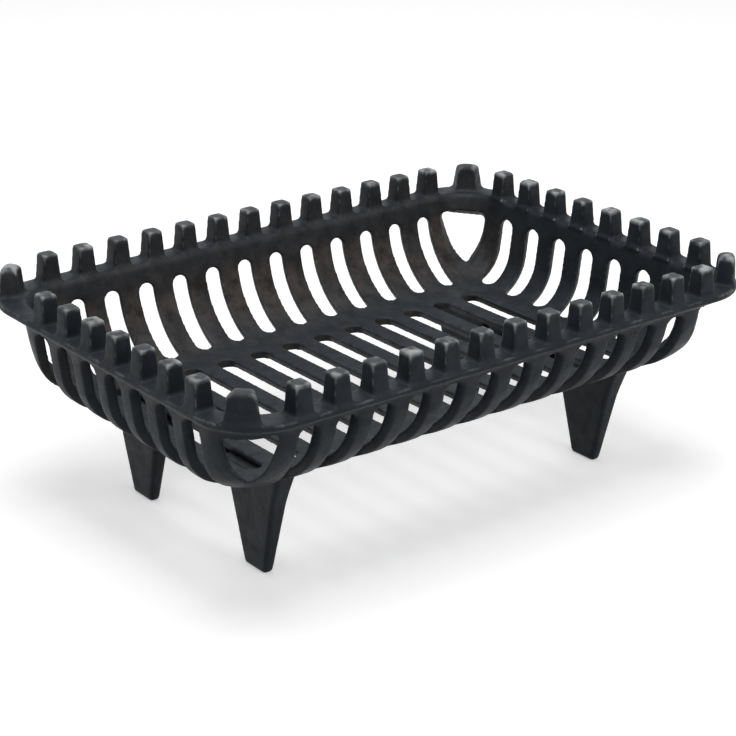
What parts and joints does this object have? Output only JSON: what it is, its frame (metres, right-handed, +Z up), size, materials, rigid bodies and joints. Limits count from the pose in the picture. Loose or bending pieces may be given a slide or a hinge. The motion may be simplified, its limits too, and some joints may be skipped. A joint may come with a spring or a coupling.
{
  "type": "log grate",
  "caption": "Rectangular cast-iron log grate: slotted dish-shaped basket with a crenellated rim on separately cast tapered legs, for burning logs on a hearth.",
  "frame": {"origin": "on the hearth, in the middle between the four feet, under the middle of the rim", "axes": "+X along the long side, +Y from the front long side to the rear one, +Z up"},
  "size_m": [0.432, 0.305, 0.1578],
  "materials": {
    "cast_iron": "sand-cast iron with a black oven-dried stove finish",
    "screw_steel": "plain blackened steel"
  },
  "bodies": {
    "root": {"basket": "cast_iron", "leg_front_left": "cast_iron", "leg_screw_front_left": "screw_steel", "leg_washer_front_left": "screw_steel", "leg_front_right": "cast_iron", "leg_screw_front_right": "screw_steel", "leg_washer_front_right": "screw_steel", "leg_rear_left": "cast_iron", "leg_screw_rear_left": "screw_steel", "leg_washer_rear_left": "screw_steel", "leg_rear_right": "cast_iron", "leg_screw_rear_right": "screw_steel", "leg_washer_rear_right": "screw_steel"}
  },
  "joints": []
}
